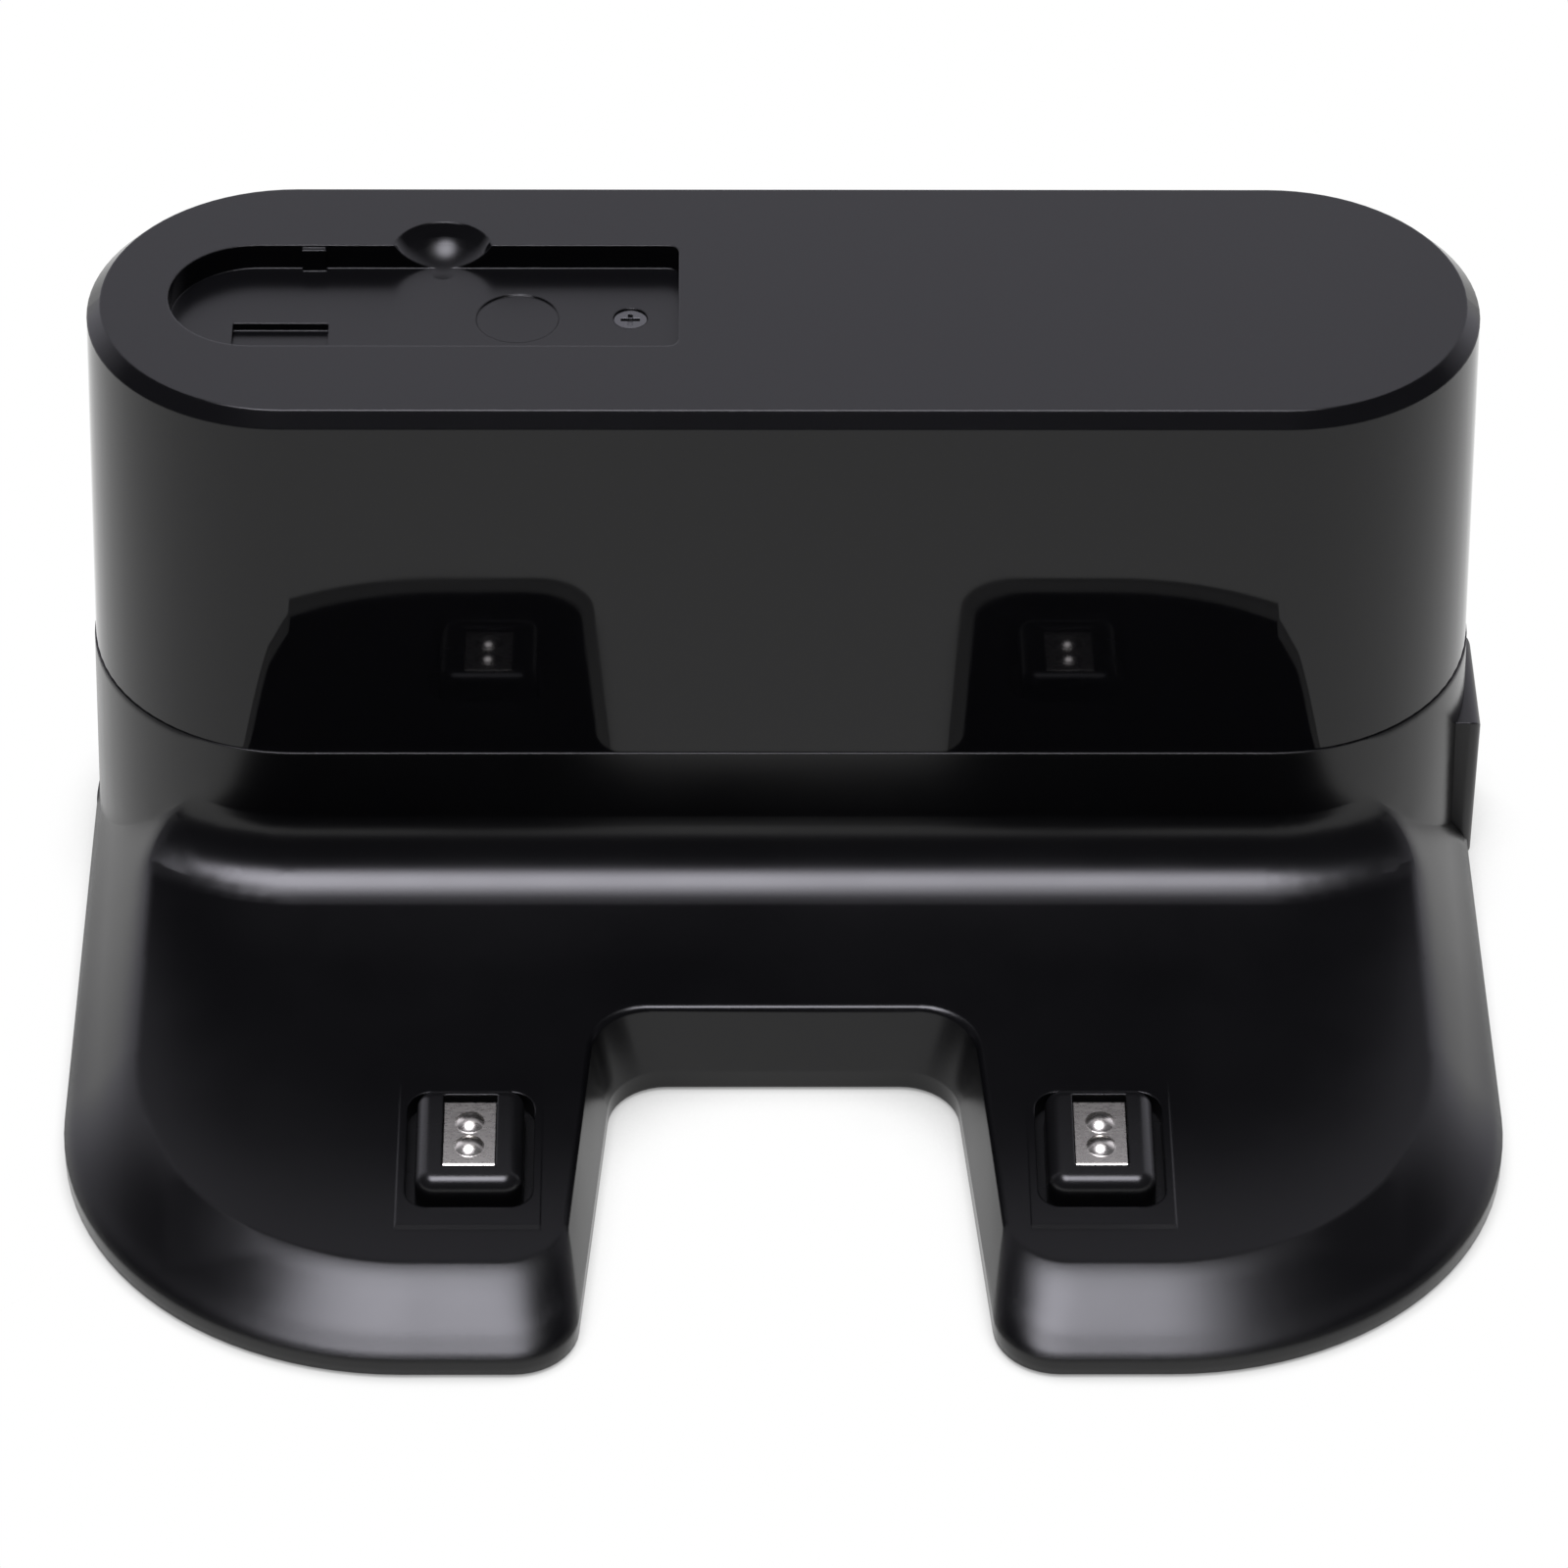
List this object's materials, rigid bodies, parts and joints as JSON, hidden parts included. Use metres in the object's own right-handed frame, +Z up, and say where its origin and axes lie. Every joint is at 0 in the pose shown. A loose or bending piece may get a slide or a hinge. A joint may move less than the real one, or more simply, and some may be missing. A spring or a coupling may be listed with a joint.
{
  "type": "robot vacuum charging dock",
  "caption": "Charging dock for a robot vacuum: round-ended tower with a tool pocket, low ramp with lobes on both sides of a castor notch, sprung contacts and a power inlet.",
  "frame": {"origin": "point on the floor under the plan centre of the tower", "axes": "+X to the end with the power inlet, +Y to the back, +Z up; the lobes reach towards -Y"},
  "size_m": [0.1813, 0.1364, 0.0835],
  "materials": {
    "gloss_black": "high gloss",
    "satin_black": "satin with a fine grain",
    "plate_black": "matte",
    "block_black": "fine satin",
    "inlet_black": "matte",
    "foot_rubber": "matte",
    "nickel": "bright nickel plate",
    "spring_steel": "bright wire",
    "screw_steel": "zinc plate",
    "dark_steel": "black zinc",
    "brass_strip": "bright strip",
    "board_green": "solder mask",
    "emitter_blue": "dark tinted lens",
    "lead_red": "wire jacket",
    "lead_black": "wire jacket"
  },
  "bodies": {
    "dock": {"base_screw_back_left": "screw_steel", "base_screw_back_right": "screw_steel", "base_screw_front_left": "screw_steel", "base_screw_front_right": "screw_steel", "board_screw_left": "screw_steel", "board_screw_right": "screw_steel", "bottom_plate": "plate_black", "contact_lead_left": "lead_red", "contact_lead_right": "lead_red", "contact_spring_left": "spring_steel", "contact_spring_right": "spring_steel", "control_board": "board_green", "dc_jack": "inlet_black", "emitter_baffle": "block_black", "foot_back_left": "foot_rubber", "foot_back_right": "foot_rubber", "foot_front_left": "foot_rubber", "foot_front_right": "foot_rubber", "inlet_housing": "inlet_black", "ir_emitter_1": "emitter_blue", "ir_emitter_2": "emitter_blue", "ir_emitter_3": "emitter_blue", "ir_emitter_4": "emitter_blue", "jack_pin": "nickel", "lower_casing": "satin_black", "pocket_screw": "dark_steel", "power_lead": "lead_black", "spring_terminal_left": "brass_strip", "spring_terminal_right": "brass_strip", "upper_casing": "gloss_black"},
    "left_contact": {"contact_block_left": "block_black", "contact_plate_left": "nickel"},
    "right_contact": {"contact_block_right": "block_black", "contact_plate_right": "nickel"}
  },
  "joints": [
    {"name": "left_contact_press", "type": "slide", "parent": "dock", "child": "left_contact", "axis": [0, 0, 1], "range_m": [-0.002, 0], "stiffness_N_per_m": 600, "springref_m": 0.0015, "deforming": ["contact_spring_left"]},
    {"name": "right_contact_press", "type": "slide", "parent": "dock", "child": "right_contact", "axis": [0, 0, 1], "range_m": [-0.002, 0], "stiffness_N_per_m": 600, "springref_m": 0.0015, "deforming": ["contact_spring_right"]}
  ]
}
